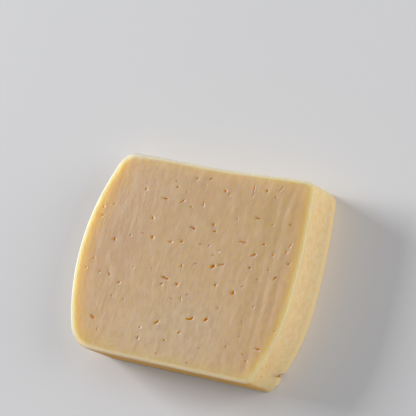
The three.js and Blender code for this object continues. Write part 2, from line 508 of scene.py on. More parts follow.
@dataclass(frozen=True)
class Gouge:
    """A wedge torn from the right side, deepest at the lower rim.

    Attributes:
        y: Where its deepest line meets the side.
        below: How far its mouth reaches down the side from there.
        above: How far it reaches up.
        depth: Its depth at the lower rim.
        rise: How far it reaches up from the lower cut face.
        raggedness: How uneven its walls are, as a share of its size.
        narrowing: How much narrower it is at its upper end.
        lean: How far it has leant down the section at its upper end.
    """

    y: float
    below: float
    above: float
    depth: float
    rise: float
    raggedness: float = 0.25
    narrowing: float = 0.75
    lean: float = 0.9


@dataclass(frozen=True)
class Flap:
    """The bit of rind that stands out from the right side just below the tear.

    Attributes:
        y: Its middle up the section.
        reach: How far it fades out up and down from there.
        rise: How far it fades out up from the lower cut face.
        out: How far it stands out.
    """

    y: float = -46.0
    reach: float = 2.6
    rise: float = 5.5
    out: float = 0.8

    def bulge(self, x: np.ndarray, y: np.ndarray, z: np.ndarray) -> np.ndarray:
        """Reads how far the flap stands out at each place. It ends sharply at the tear."""
        fade = np.exp(-(((y - self.y) / self.reach) ** 2) - (z / self.rise) ** 2)
        return self.out * fade * smoothstep(50.0, 56.0, x) * smoothstep(-42.0, -43.2, y)


@dataclass(frozen=True)
class DragLine:
    """A step that the cutting wire left along the section's height.

    Attributes:
        x: Where it crosses the section's middle height.
        step: How much higher the surface is beyond it.
        width: How wide the step is.
    """

    x: float
    step: float
    width: float


DRAG_LINES = (
    DragLine(31.5, 0.05, 1.6), DragLine(35.5, 0.04, 1.6), DragLine(40.5, 0.07, 1.9),
    DragLine(45.3, -0.18, 2.3), DragLine(49.6, 0.11, 1.6), DragLine(52.7, -0.17, 1.5),
    DragLine(55.4, 0.28, 2.1), DragLine(58.9, -0.20, 1.6), DragLine(61.8, 0.10, 1.5),
    DragLine(65.0, -0.12, 1.5),
)


@dataclass(frozen=True)
class Ripple:
    """A smooth unevenness over the section.

    Attributes:
        height: How far it goes to either side.
        cell_x: Width of its waves across the section.
        cell_y: Their length up the section.
        layer: The layer of noise that it is read from.
    """

    height: float
    cell_x: float
    cell_y: float
    layer: float

    def noise(self, x: np.ndarray, y: np.ndarray, shift: float) -> np.ndarray:
        """Reads its noise, some layers further on by the shift."""
        return noise_field(x / self.cell_x, y / self.cell_y, self.layer + shift)

    def wave(self, x: np.ndarray, y: np.ndarray, shift: float) -> np.ndarray:
        """Reads its height, to either side of 0."""
        return self.height * self.noise(x, y, shift)

    def dent(self, x: np.ndarray, y: np.ndarray, shift: float) -> np.ndarray:
        """Reads its depth below its crests, which lie at about 0."""
        return self.height * (1.0 + self.noise(x, y, shift))


@dataclass(frozen=True)
class WireMarks:
    """What the cutting wire left on a cut face: soft swells, fine lines and a few steps.

    Attributes:
        level: How far the face lies below its highest level without any marks.
        swell: The broad swells.
        line: The lines along the section's height.
        fine_line: The finest lines.
        lump: The small lumps.
        wander: How far the lines wander sideways.
        lean: How much they lean as they go down the section.
        step_share: What share of its listed height a step has.
        step_change: How much that changes from place to place.
        top_end: Where the steps fade in below the loaf's top, up the section.
        bottom_end: Where they fade in above its bottom.
        sunk: Where the lower face starts to be sunk, by the nearness to its rim.
    """

    level: float = 0.22
    swell: Ripple = Ripple(height=0.12, cell_x=38, cell_y=30, layer=3)
    line: Ripple = Ripple(height=0.035, cell_x=3.6, cell_y=25, layer=7)
    fine_line: Ripple = Ripple(height=0.012, cell_x=1.7, cell_y=10, layer=9)
    lump: Ripple = Ripple(height=0.048, cell_x=2.5, cell_y=3.4, layer=11)
    wander: Ripple = Ripple(height=0.45, cell_x=25, cell_y=35, layer=5)
    lean: float = 0.04
    step_share: float = 0.65
    step_change: Ripple = Ripple(height=0.7, cell_x=9, cell_y=22, layer=13)
    top_end: Span = (51.0, 38.0)
    bottom_end: Span = (-52.0, -40.0)
    sunk: Span = (1.0, 0.75)

    def depth(self, x: np.ndarray, y: np.ndarray, face: CutFace) -> np.ndarray:
        """Reads how far a cut face lies below its highest level.

        The marks are strongest at the right. The lower face rests on its rim, so there it isn't
        sunk.

        Args:
            x: Places across the section.
            y: Places up the section.
            face: The cut face.

        Returns:
            The depth at each place.
        """
        shift = 0.0 if face is CutFace.UPPER else 40.0
        swell = self.swell.dent(x, y, shift)
        leaning = x + self.lean * y + self.wander.wave(x, y, shift)
        lines = self.line.wave(leaning, y, shift)
        lines += self.fine_line.wave(leaning, y, shift)
        lumps = self.lump.wave(x, y, shift)
        steps = sum(
            line.step * (smoothstep(line.x - line.width, line.x + line.width, leaning) - 0.5)
            for line in DRAG_LINES
        )
        strength = 1.0 + self.step_change.wave(x, y, shift)
        strength *= smoothstep(*self.top_end, y) * smoothstep(*self.bottom_end, y)
        marks = self.level + swell + lines + lumps - self.step_share * steps * strength
        marks = np.maximum(marks, 0.0)
        if face is CutFace.LOWER:
            marks *= smoothstep(*self.sunk, nearness_to_rim(x, y))
        return marks


@dataclass(frozen=True)
class TonePatch:
    """A broad patch of a cut face whose colour differs a little from the rest: partly the paste's own
    tone, partly painted sheen where pale and painted shade where rosy.

    Attributes:
        x: Its middle across the section.
        y: Its middle up the section.
        reach: How far it fades out.
        amount: How yellow it is, or how pale where negative; the pale patches are a painted sheen.
        flush: How rosy it is; the rosy patches are a painted shade.
    """

    x: float
    y: float
    reach: float
    amount: float
    flush: float = 0.0

    def share(self, x: np.ndarray, y: np.ndarray) -> np.ndarray:
        """Reads how much of the patch shows at each place, from 0 to 1."""
        return np.exp(-((x - self.x) ** 2 + (y - self.y) ** 2) / self.reach**2)


# The pale patches are a painted sheen and the rosy ones a painted shade.
TONE_PATCHES = (
    TonePatch(48, 34, 25, 0.95), TonePatch(14, -34, 24, -0.9), TonePatch(-30, 34, 24, -0.4),
    TonePatch(58, -30, 16, 0.4), TonePatch(-14, -36, 20, -0.4), TonePatch(-48, 4, 24, -0.1, 0.8),
    TonePatch(-28, 30, 20, 0.0, 0.35), TonePatch(5, 40, 20, 0.1, 0.4),
    TonePatch(70, -50, 13, 0.9),
)


@dataclass(frozen=True)
class Relief:
    """A fine relief that the finish gives the surface.

    Attributes:
        height: Its height.
        strength: How much of it shows.
    """

    height: float
    strength: float


@dataclass(frozen=True)
class SlabFinish:
    """The paste and rind of a semi-soft cheese, as one material.

    Attributes:
        paste: Colour in the middle of a cut face.
        golden: Colour of its yellower patches.
        creamy: Colour of its paler patches, a painted sheen.
        rosy: Colour of its rosier patches, a painted shade.
        dense_and_glow: Colour of the drier band inside a rim, partly a painted glow of light through
            the rim.
        gilt_and_glow: Colour of that band on the left, yellower: partly a painted glow of the light
            entering there.
        edge: Colour of the dry rim itself.
        left_rim_highlight: The dry rim's paler colour on the left, a painted highlight.
        crest: Its palest colour, at the top, a painted highlight.
        brink: Its warmer, brighter colour at the bottom, painted light on a rim that faces down.
        rind: Colour of the pressed outside.
        shaded_underside: Colour of the outside that the loaf lay on, darker and oranger than the
            rest: a painted shade.
        foot: Colour of the rim that the slab lies on, a little brighter than the rind: painted light
            against the shade there.
        lip: Colour of the pale ring round an eye, a painted highlight.
        hollow: Colour down in an eye, a painted shade.
        edge_width: How far the dry rim reaches.
        left_highlight_width: How much further the dry rim, with its painted highlight, reaches on the
            left.
        hollow_depth: How deep an eye is where its painted shade is full.
        glow: How far red, green and blue light travel inside.
        roughness: Roughness of the cut faces.
        rind_roughness: Roughness of the dry outside.
        refraction: How much the surface bends light.
        shine: How much it reflects, where 0.5 is a plain surface.
        cloth_pitch: From thread to thread of the pressing cloth.
        grain_relief: The grain of the whole surface.
        drag_relief: The smears along the section's height.
        cloth_relief: The print of the pressing cloth.
    """

    paste: Colour = (0.73, 0.497, 0.252)
    golden: Colour = (0.715, 0.475, 0.205)
    # Painted sheen: the paler patches.
    creamy: Colour = (0.74, 0.55, 0.34)
    # Painted shade: the rosier patches.
    rosy: Colour = (0.68, 0.42, 0.225)
    # Partly painted glow: the drier band inside a rim, yellower as if lit through it.
    dense_and_glow: Colour = (0.735, 0.505, 0.17)
    # Partly painted glow: that band on the left, where the light enters.
    gilt_and_glow: Colour = (0.72, 0.47, 0.11)
    edge: Colour = (0.79, 0.595, 0.375)
    # Painted highlight: the rim's pale colour on the left side.
    left_rim_highlight: Colour = (0.66, 0.615, 0.56)
    # Painted highlight: the rim's palest colour along the top.
    crest: Colour = (0.86, 0.77, 0.68)
    # Painted light: a brighter, warmer colour on the bottom rim.
    brink: Colour = (0.97, 0.73, 0.46)
    rind: Colour = (0.86, 0.615, 0.31)
    # Painted shade: the bottom rind, darker and oranger than the rest.
    shaded_underside: Colour = (0.80, 0.38, 0.06)
    # Painted light: a little brighter than the rind, against the shade where the slab rests.
    foot: Colour = (0.87, 0.65, 0.335)
    # Painted highlight: the pale ring round an eye.
    lip: Colour = (0.80, 0.66, 0.47)
    # Painted shade: the deep orange down in an eye.
    hollow: Colour = (0.80, 0.42, 0.012)
    edge_width: float = 2.6
    left_highlight_width: float = 1.7
    hollow_depth: float = 0.6
    glow: tuple[float, float, float] = (16.0, 15.5, 3.4)
    roughness: float = 0.38
    rind_roughness: float = 0.75
    refraction: float = 1.45
    shine: float = 0.45
    cloth_pitch: float = 1.3
    grain_relief: Relief = Relief(height=0.25, strength=0.5)
    drag_relief: Relief = Relief(height=0.17, strength=0.5)
    cloth_relief: Relief = Relief(height=0.2, strength=0.6)

    def build(self) -> bpy.types.Material:
        """Builds the material.

        Returns:
            The material, which reads the slab's attributes and its place in millimetres.
        """
        material = bpy.data.materials.new("havarti_paste_and_rind")
        material.use_nodes = True
        graph = Graph(material.node_tree)
        place = graph.millimetres()
        cloth = graph.cloth("wrap", self.cloth_pitch)
        rind = graph.attribute("rind")

        skin = graph.mix(rind, self.mix_paste(graph, place), self.mix_outside(graph, place, cloth))
        skin = graph.mix(graph.attribute("edge"), skin, self.mix_rim(graph))
        # Painted light on the rim the slab rests on.
        skin = graph.mix(graph.attribute("foot"), skin, self.foot)
        depth = graph.attribute("eye_depth")
        # Painted highlight on the ring round each eye.
        skin = graph.mix(graph.ramp(depth, 0.01, 0.08, 0.0, 0.42), skin, self.lip)
        # Painted shade down in the eyes, the torn corner and the rind's pits.
        skin = graph.mix(graph.ramp(depth, 0.08, self.hollow_depth), skin, self.hollow)

        grain = graph.noise(place, scale=(1.8, 1.3, 1.8), detail=4.0)
        drag = graph.noise(place, scale=(0.5, 0.14, 0.5), detail=2.0)
        woven = graph.product(cloth, graph.attribute("press"))
        fine = graph.bump(grain, self.grain_relief)
        smeared = graph.bump(drag, self.drag_relief, under=fine)
        pressed = graph.bump(woven, self.cloth_relief, under=smeared)
        dullness = graph.ramp(rind, 0.0, 1.0, self.roughness, self.rind_roughness)
        glowing = graph.ramp(graph.attribute("dry"), 0.0, 1.0, 1.0, 0.0)
        inputs = {
            "Base Color": skin,
            "Roughness": dullness,
            "Normal": pressed,
            "IOR": self.refraction,
            "Specular IOR Level": self.shine,
            "Subsurface Weight": glowing,
            "Subsurface Radius": self.glow,
            "Subsurface Scale": MM,
        }
        graph.fill(graph.nodes["Principled BSDF"], inputs)
        return material

    def mix_paste(self, graph: "Graph", place: Socket) -> Socket:
        """Mixes the colour of a cut face.

        Args:
            graph: The material's nodes.
            place: The place on the slab.

        Returns:
            The colour.
        """
        streaks = graph.noise(place, scale=(0.22, 0.07, 0.22), detail=4.0)
        mottle = graph.noise(place, scale=(0.35, 0.22, 0.35), detail=5.0)
        tone = graph.attribute("tone")
        darker, paler = self.shift(self.paste, -0.11), self.pale(self.paste, 0.35)
        paste = graph.mix(graph.ramp(tone, 0.0, 1.0), self.paste, self.golden)
        # Painted sheen in the pale patches, painted shade in the rosy ones.
        paste = graph.mix(graph.ramp(tone, 0.0, -1.0), paste, self.creamy)
        paste = graph.mix(graph.attribute("flush"), paste, self.rosy)
        paste = graph.mix(graph.ramp(mottle, 0.62, 0.38, 0.0, 0.6), paste, darker)
        paste = graph.mix(graph.ramp(streaks, 0.45, 0.7, 0.0, 0.5), paste, paler)
        # The bands inside the rims: drier paste, and partly a painted glow.
        paste = graph.mix(graph.attribute("dense_and_glow"), paste, self.dense_and_glow)
        return graph.mix(graph.attribute("gilt_and_glow"), paste, self.gilt_and_glow)

    def mix_outside(self, graph: "Graph", place: Socket, cloth: Socket) -> Socket:
        """Mixes the colour of the pressed outside.

        Args:
            graph: The material's nodes.
            place: The place on the slab.
            cloth: The print of the pressing cloth.

        Returns:
            The colour.
        """
        blotch = graph.noise(place, scale=(0.22, 0.3, 0.3), detail=4.0)
        freckles = graph.noise(place, scale=(0.9, 0.55, 0.9), detail=3.0)
        threads = graph.product(graph.ramp(cloth, 0.5, 0.0, 0.0, 0.35), graph.attribute("press"))
        flat = graph.attribute("flat")
        outside = graph.mix(
            graph.ramp(blotch, 0.35, 0.65), self.pale(self.rind, 0.3), self.shift(self.rind, -0.06)
        )
        for share, colour in (
            (graph.ramp(freckles, 0.52, 0.72, 0.0, 0.7), self.pale(self.rind, 0.7)),
            (graph.ramp(freckles, 0.46, 0.28, 0.0, 0.7), self.gold(self.rind)),
            (threads, self.shift(self.rind, -0.16)),
            (graph.ramp(graph.attribute("tone"), 0.4, 0.9, 0.0, 0.7), self.gold(self.rind)),
            (graph.ramp(flat, 0.0, 1.0, 0.0, 0.5), self.pale(self.rind, 0.6)),
            # The bottom rind is painted darker and oranger, a painted shade.
            (graph.ramp(flat, 0.0, -1.0, 0.0, 0.9), self.shaded_underside),
        ):
            outside = graph.mix(share, outside, colour)
        return outside

    def mix_rim(self, graph: "Graph") -> Socket:
        """Mixes the colour of the dry rim, with a painted highlight on the left and at the top and
        painted light, brighter and warmer, at the bottom.

        Args:
            graph: The material's nodes.

        Returns:
            The colour.
        """
        flat = graph.attribute("flat")
        # Painted highlight on the left and top rims, painted light on the bottom rim.
        rim = graph.mix(graph.attribute("left_rim_highlight"), self.edge, self.left_rim_highlight)
        rim = graph.mix(graph.ramp(flat, 0.0, 1.0, 0.0, 0.6), rim, self.crest)
        return graph.mix(graph.ramp(flat, 0.0, -1.0), rim, self.brink)

    @staticmethod
    def pale(colour: Colour, amount: float) -> Colour:
        """Moves a colour towards cream, which has more green and blue."""
        cream = (0.86, 0.72, 0.50)
        return tuple(channel + (c - channel) * amount for channel, c in zip(colour, cream))

    @staticmethod
    def gold(colour: Colour) -> Colour:
        """Makes a colour a little darker and much yellower."""
        return tuple(channel * c for channel, c in zip(colour, (0.96, 0.92, 0.70)))

    @staticmethod
    def shift(colour: Colour, amount: float) -> Colour:
        """Makes a colour lighter by a share, or darker by a negative one."""
        return tuple(channel * (1.0 + amount) for channel in colour)


class Graph:
    """A short hand for building a material's nodes."""

    def __init__(self, tree: bpy.types.NodeTree) -> None:
        """Keeps the tree to build in."""
        self.tree = tree
        self.nodes = tree.nodes

    def fill(self, node: bpy.types.Node, inputs: Inputs) -> None:
        """Fills a node's inputs.

        Args:
            node: The node.
            inputs: For each input, by name or number, an output to link to it or its value.
        """
        for name, value in inputs.items():
            if isinstance(value, Socket):
                self.tree.links.new(value, node.inputs[name])
            else:
                node.inputs[name].default_value = value

    def add(self, kind: str, output: int | str, inputs: Inputs, **settings: str) -> Socket:
        """Adds a node.

        Args:
            kind: The end of its type's name.
            output: Name or number of the output that is wanted.
            inputs: What goes into its inputs.
            settings: Its properties.

        Returns:
            The output.
        """
        node = self.nodes.new(f"ShaderNode{kind}")
        for name, value in settings.items():
            setattr(node, name, value)
        self.fill(node, inputs)
        return node.outputs[output]

    def millimetres(self) -> Socket:
        """Gives the place on the piece, in millimetres."""
        place = self.add("TexCoord", "Object", {})
        return self.add("VectorMath", 0, {0: place, "Scale": 1.0 / MM}, operation="SCALE")

    def attribute(self, name: str) -> Socket:
        """Reads one of the piece's number attributes."""
        return self.add("Attribute", "Fac", {}, attribute_name=name)

    def noise(self, place: Socket, scale: tuple[float, float, float], detail: float) -> Socket:
        """Adds noise between 0 and 1, with scale cells in a millimetre and detail finer layers."""
        stretched = self.add("Mapping", 0, {"Vector": place, "Scale": scale})
        return self.add("TexNoise", "Fac", {"Vector": stretched, "Scale": 1.0, "Detail": detail})

    def ramp(
        self, value: Socket, start: float, end: float, low: float = 0.0, high: float = 1.0
    ) -> Socket:
        """Maps a number smoothly from one range to another.

        Args:
            value: The number.
            start: Where the rise starts.
            end: Where it ends.
            low: The result at the start.
            high: The result at the end.

        Returns:
            The mapped number.
        """
        ends = {"From Min": start, "From Max": end, "To Min": low, "To Max": high}
        inputs = {"Value": value, **ends}
        return self.add("MapRange", "Result", inputs, interpolation_type="SMOOTHSTEP")

    def mix(self, share: Socket, first: Socket | Colour, second: Socket | Colour) -> Socket:
        """Blends two colours.

        Args:
            share: How much of the second one shows.
            first: A colour, or the output of a node.
            second: A colour, or the output of a node.

        Returns:
            The blended colour.
        """
        inputs = {"Factor": share}
        for number, colour in ((6, first), (7, second)):
            inputs[number] = (*colour, 1.0) if isinstance(colour, tuple) else colour
        return self.add("Mix", 2, inputs, data_type="RGBA")

    def product(self, first: Socket, second: Socket) -> Socket:
        """Multiplies two numbers."""
        return self.add("Math", 0, {0: first, 1: second}, operation="MULTIPLY")

    def cloth(self, uv_name: str, pitch: float) -> Socket:
        """Adds the print of a plain cloth's threads.

        Args:
            uv_name: The UV map, in millimetres, that the threads follow.
            pitch: From thread to thread.

        Returns:
            The print's height, from 0 to 1.
        """
        inputs = {
            "Vector": self.add("UVMap", "UV", {}, uv_map=uv_name),
            "Scale": math.pi / (10 * pitch),
            "Distortion": 1.2,
            "Detail": 2.0,
            "Detail Scale": 0.5,
        }
        warp, weft = (
            self.add("TexWave", "Fac", inputs, bands_direction=axis) for axis in ("X", "Y")
        )
        return self.product(warp, weft)

    def bump(self, height: Socket, relief: Relief, under: Socket | None = None) -> Socket:
        """Turns a height into a tilt of the surface.

        Args:
            height: The height, between 0 and 1.
            relief: The real height of 1, and how much of the tilt shows.
            under: Another bump that this one lies on.

        Returns:
            The tilted normal.
        """
        inputs = {"Height": height, "Strength": relief.strength, "Distance": relief.height * MM}
        if under is not None:
            inputs["Normal"] = under
        return self.add("Bump", "Normal", inputs)


@dataclass(frozen=True)
class Seat:
    """Where an opening is cut: a place on the surface and the directions there.

    Attributes:
        origin: The place, in millimetres.
        along: Unit vector along the opening's length.
        across: Unit vector along its width.
        outward: Unit vector out of the surface.
    """

    origin: np.ndarray
    along: np.ndarray
    across: np.ndarray
    outward: np.ndarray

    def place(self, along: np.ndarray, across: np.ndarray, outward: np.ndarray) -> np.ndarray:
        """Turns distances along the three directions into places, one row each."""
        return (
            self.origin
            + np.outer(along, self.along)
            + np.outer(across, self.across)
            + np.outer(outward, self.outward)
        )


@dataclass(frozen=True)
class EyeShape:
    """An eye's cutter: its side view, ring by ring from the top, and how much it varies.

    Attributes:
        core: Share of the eye's half width that each ring has.
        flare: What the soft lip adds to it.
        lip: Height of the upper rings above the surface.
        fall: Share of the remaining depth at which the lower rings lie.
        wobble: How far each wave of its outline goes in and out, as a share.
        waves: How many times each of those waves goes round.
        uneven_lip: How much wider the lip is on one side.
        least_lip: What share of its width it keeps on the other.
        slant: How far the hollow leans, for each millimetre that it is deep.
        slant_start: From what depth it leans.
        taper: How much wider one end of a longer eye may be.
        taper_from: Times its width from which an eye counts as longer.
        waist: How little and how much a slit may narrow in its middle.
        waist_from: Times its width from which an eye counts as a slit.
        waist_reach: How far along the slit its waist goes.
        bend: How far its ends may bend sideways, as a share of its width.
    """

    core: tuple[float, ...] = (0.0, 1.0, 1.0, 1.0, 1.0, 0.96, 0.88, 0.7, 0.46, 0.22, 0.0)
    flare: tuple[float, ...] = (0.0, 0.75, 0.62, 0.3, 0.06, 0.0, 0.0, 0.0, 0.0, 0.0, 0.0)
    lip: tuple[float, ...] = (0.8, 0.5, 0.03, -0.1, -0.26)
    fall: tuple[float, ...] = (0.22, 0.45, 0.67, 0.85, 0.96, 1.0)
    wobble: float = 0.13
    waves: tuple[int, ...] = (2, 3, 4, 5)
    uneven_lip: float = 0.55
    least_lip: float = 0.2
    slant: float = 0.5
    slant_start: float = 0.3
    taper: float = 0.35
    taper_from: float = 1.5
    waist: Span = (0.1, 0.5)
    waist_from: float = 2.2
    waist_reach: float = 0.35
    bend: float = 0.28

    @property
    def rings(self) -> int:
        """How many bands of faces the cutter has from pole to pole."""
        return len(self.core) - 1

    def heights(self, depth: float) -> np.ndarray:
        """Lists the height of each ring above the surface, for an eye of one depth."""
        last = self.lip[-1]
        return np.array([*self.lip, *(last + share * (-depth - last) for share in self.fall)])


@dataclass(frozen=True)
class Zones:
    """Where the parts of the finish lie: from where they don't show at all to where they do fully.

    Attributes:
        flat: The loaf's top and bottom, by the upward or downward part of the outline's normal.
        left: The left side, across the section.
        right: The right side, across the section.
        skin: The rind's thickness, from the outline inwards.
        rind: Where the rind starts below a cut face.
        dense_and_glow: The drier band of a cut face, partly a painted glow, from the outline inwards.
        gilt_and_glow: That band on the left, partly a painted glow.
        upper_edge: The dry rim's height below the upper cut face.
        lower_edge: Its height above the lower one.
        edge_end: How far inwards it shows fully.
        foot_rise: The foot's height above the lower cut face.
        foot: Its thickness, from the outline inwards.
        left_rim: Where the left rim lets no light in, from the outline inwards.
        bottom_rim: The same at the loaf's bottom.
        dry_rise: How far below the upper cut face that is so.
    """

    flat: Span = (0.6, 0.97)
    left: Span = (-20.0, -60.0)
    right: Span = (-10.0, 40.0)
    skin: Span = (1.0, 0.3)
    rind: Span = (0.4, 1.6)
    dense_and_glow: Span = (7.0, 1.5)
    gilt_and_glow: Span = (16.0, 1.0)
    upper_edge: Span = (2.8, 0.8)
    lower_edge: Span = (0.9, 0.3)
    edge_end: float = 0.6
    foot_rise: Span = (6.0, 1.2)
    foot: Span = (1.6, 0.9)
    left_rim: Span = (2.6, 0.4)
    bottom_rim: Span = (2.2, 0.4)
    dry_rise: Span = (3.2, 1.0)


@dataclass
class HavartiSlab:
    """The slab: its block, the marks of the knife, the torn corner and the eyes.

    Attributes:
        section: The loaf's section.
        finish: The slab's finish.
        zones: Where its parts lie.
        thickness: From one cut face to the other.
        rim_radius: Rounding of the upper cut face's rim.
        lower_rim_radius: Rounding of the rim that the slab lies on.
        rim_segments: Faces across that rounding.
        outline_count: Points round the block.
        grid_span: Cells along the top and bottom of a cut face's grid.
        wall_cuts: Rings round the rind, between the rims.
        eye_shape: Shape of the eyes' cutters.
        eye_sides: Sides of a long eye's cutter, and of a shorter one's.
        long_eye: From what length an eye counts as long.
        eye_shrink: Share of an eye's width that lies inside its soft lip.
        depth_share: How much deeper an eye gets with its width.
        depth_extra: How deep a very narrow eye is.
        hidden_eyes: The eyes of the lower cut face.
        cutter_growth: How many times as long as its eye a cutter may be.
        cutter_room: What two cutters need between them.
        side_lumps: Depth of the broad dents that the press left in the sides.
        side_grain: Depth of their finer grain.
        gouges: What is torn from the lower right corner.
        gouge_cuts: How finely their cutters are divided.
        flap: The bit of rind that stands out below the tear.
        marks: The marks of the cutting wire.
        pits: Pits in the rind of the right side.
        outline_samples: Points of the outline from which distances are measured.
        smooth_angle: Up to what angle, in degrees, two faces are shaded as one surface.
        seed: Start of the random draws.
    """

    section: Section = field(default_factory=Section)
    finish: SlabFinish = field(default_factory=SlabFinish)
    zones: Zones = field(default_factory=Zones)
    thickness: float = 22.6
    rim_radius: float = 1.4
    lower_rim_radius: float = 0.45
    rim_segments: int = 5
    outline_count: int = 560
    grid_span: int = 152
    wall_cuts: int = 22
    eye_shape: EyeShape = field(default_factory=EyeShape)
    eye_sides: tuple[int, int] = (16, 10)
    long_eye: float = 1.6
    eye_shrink: float = 0.78
    depth_share: float = 0.95
    depth_extra: float = 0.35
    hidden_eyes: HiddenEyes = field(default_factory=HiddenEyes)
    cutter_growth: float = 1.3
    cutter_room: float = 1.4
    side_lumps: float = 0.10
    side_grain: float = 0.045
    gouges: tuple[Gouge, ...] = (
        Gouge(y=-41.6, below=1.5, above=3.4, depth=2.3, rise=5.5),
        Gouge(y=-42.2, below=0.35, above=0.45, depth=3.9, rise=8.0),
        Gouge(y=-38.6, below=0.5, above=1.0, depth=0.6, rise=2.4),
    )
    gouge_cuts: int = 7
    flap: Flap = field(default_factory=Flap)
    marks: WireMarks = field(default_factory=WireMarks)
    pits: tuple[RindPit, ...] = (RindPit(-45.3, 15.5, 1.5), RindPit(-40.2, 17.2, 0.9))
    outline_samples: int = 2000
    smooth_angle: float = 45.0
    seed: int = 20417

    def build(self) -> bpy.types.Object:
        """Builds and dresses the slab.

        Returns:
            The finished piece, with its place in its mesh.
        """
        slab = self.make_block()
        self.add_unevenness(slab)
        self.cut_openings(slab)
        self.keep_inside(slab)
        self.write_attributes(slab)
        make_active(slab)
        bpy.ops.object.shade_smooth_by_angle(angle=math.radians(self.smooth_angle))
        slab.data.materials.clear()
        slab.data.materials.append(self.finish.build())
        return slab

    def make_block(self) -> bpy.types.Object:
        """Extrudes the section, rounds its rims and lays an even grid over both cut faces.

        Returns:
            The plain block.
        """
        deselect_all()
        outline = self.section.even_points(self.outline_count)
        bpy.ops.mesh.primitive_circle_add(
            vertices=self.outline_count, radius=self.section.right_reach * MM, fill_type="NGON"
        )
        block = bpy.context.object
        block.name = block.data.name = "havarti_slab_surface"
        flat = np.zeros((self.outline_count, 1))
        set_coordinates(block.data, np.hstack([outline, flat]))

        bpy.ops.object.mode_set(mode="EDIT")
        bpy.ops.mesh.select_all(action="SELECT")
        bpy.ops.mesh.extrude_region_move(
            TRANSFORM_OT_translate={"value": (0.0, 0.0, self.thickness * MM)}
        )
        turn_faces_outward()

        for height, radius in ((0.0, self.lower_rim_radius), (self.thickness, self.rim_radius)):
            start, end = edge_heights(block.data)
            rim = np.isclose(start, height) & np.isclose(end, height)
            select_parts(block, Part.EDGES, rim)
            bpy.ops.mesh.bevel(
                offset=radius * MM,
                segments=self.rim_segments,
                profile=0.5,
                affect="EDGES",
                clamp_overlap=False,
            )
            bpy.ops.object.mode_set(mode="OBJECT")
            self.lay_grid(block, height)

        start, end = edge_heights(block.data)
        select_parts(block, Part.EDGES, np.abs(start - end) > self.thickness / 2)
        bpy.ops.mesh.subdivide(number_cuts=self.wall_cuts)
        turn_faces_outward()
        return block

    def lay_grid(self, block: bpy.types.Object, height: float) -> None:
        """Replaces the single face of a cut face by an even grid.

        Args:
            block: The active block.
            height: The cut face's height.
        """
        cap = [
            len(face.vertices) > 4 and math.isclose(face.center.z / MM, height, abs_tol=0.01)
            for face in block.data.polygons
        ]
        select_parts(block, Part.FACES, np.array(cap))
        bpy.ops.mesh.delete(type="ONLY_FACE")
        bpy.ops.object.mode_set(mode="OBJECT")
        start, end = edge_heights(block.data)
        rim = np.isclose(start, height) & np.isclose(end, height)
        select_parts(block, Part.EDGES, rim)
        bpy.ops.mesh.fill_grid(span=self.grid_span)
        bpy.ops.object.mode_set(mode="OBJECT")

    def add_unevenness(self, slab: bpy.types.Object) -> None:
        """Sinks the surfaces where the wire dragged and where the press was uneven.

        Args:
            slab: The plain block.
        """
        places = coordinates(slab.data)
        normals = np.empty(len(places) * 3, np.float32)
        slab.data.vertices.foreach_get("normal", normals)
        normals = normals.reshape(-1, 3)
        x, y, z = places.T
        wall = 1.0 - np.abs(normals[:, 2])
        lumps = 1.0 + noise_field(x / 9 + z / 13, y / 9 - z / 11, 21.0)
        grain = 1.0 + noise_field(x / 2.3 + z / 2.1, y / 2.3 - z / 2.5, 23.0)
        sink = wall * (self.side_lumps * lumps + self.side_grain * grain)
        sink -= wall * self.flap.bulge(x, y, z)
        moved = places - normals * sink[:, None]
        top = np.maximum(normals[:, 2], 0.0) ** 2
        bottom = np.maximum(-normals[:, 2], 0.0) ** 2
        moved[:, 2] -= top * self.marks.depth(x, y, CutFace.UPPER)
        moved[:, 2] += bottom * self.marks.depth(x, y, CutFace.LOWER)
        set_coordinates(slab.data, moved)

    def cut_openings(self, slab: bpy.types.Object) -> None:
        """Cuts the eyes, the rind's pits and the torn corner.

        Cutters that touch each other go into different Booleans.

        Args:
            slab: The uneven block.
        """
        draw = random.Random(self.seed)
        visible = [*LARGE_EYES, *SMALL_EYES]
        hidden = self.hidden_eyes.scatter(draw)
        openings = [(eye, self.face_seat(eye, CutFace.UPPER)) for eye in visible]
        openings += [(eye, self.face_seat(eye, CutFace.LOWER)) for eye in hidden]
        openings += [(pit.mouth, self.side_seat(pit.y, pit.z)) for pit in self.pits]
        rounds: list[list[tuple[Eye, Seat]]] = []
        for eye, seat in openings:
            for group in rounds:
                if all(self.is_clear(eye, seat, *other) for other in group):
                    group.append((eye, seat))
                    break
            else:
                rounds.append([(eye, seat)])
        for group in rounds:
            self.subtract(slab, [self.make_eye_cutter(eye, seat, draw) for eye, seat in group])
        for gouge in self.gouges:
            self.subtract(slab, [self.make_gouge_cutter(gouge)])

    def is_clear(self, eye: Eye, seat: Seat, other: Eye, other_seat: Seat) -> bool:
        """Tells whether two eyes' cutters stay apart, with room for their lips and bends."""
        reach = (eye.length + other.length) / 2 * self.cutter_growth + self.cutter_room
        return float(np.linalg.norm(seat.origin - other_seat.origin)) > reach

    def face_seat(self, eye: Eye, face: CutFace) -> Seat:
        """Finds the seat of an eye in a cut face.

        Args:
            eye: The eye.
            face: The cut face.

        Returns:
            The seat, turned as the eye is.
        """
        sink = float(self.marks.depth(np.array([eye.x]), np.array([eye.y]), face)[0])
        turn = math.radians(eye.turn)
        along = np.array([math.cos(turn), math.sin(turn), 0.0])
        across = np.array([-math.sin(turn), math.cos(turn), 0.0])
        up = 1.0 if face is CutFace.UPPER else -1.0
        height = self.thickness - sink if face is CutFace.UPPER else sink
        outward = np.array([0.0, 0.0, up])
        return Seat(np.array([eye.x, eye.y, height]), along, across, outward)

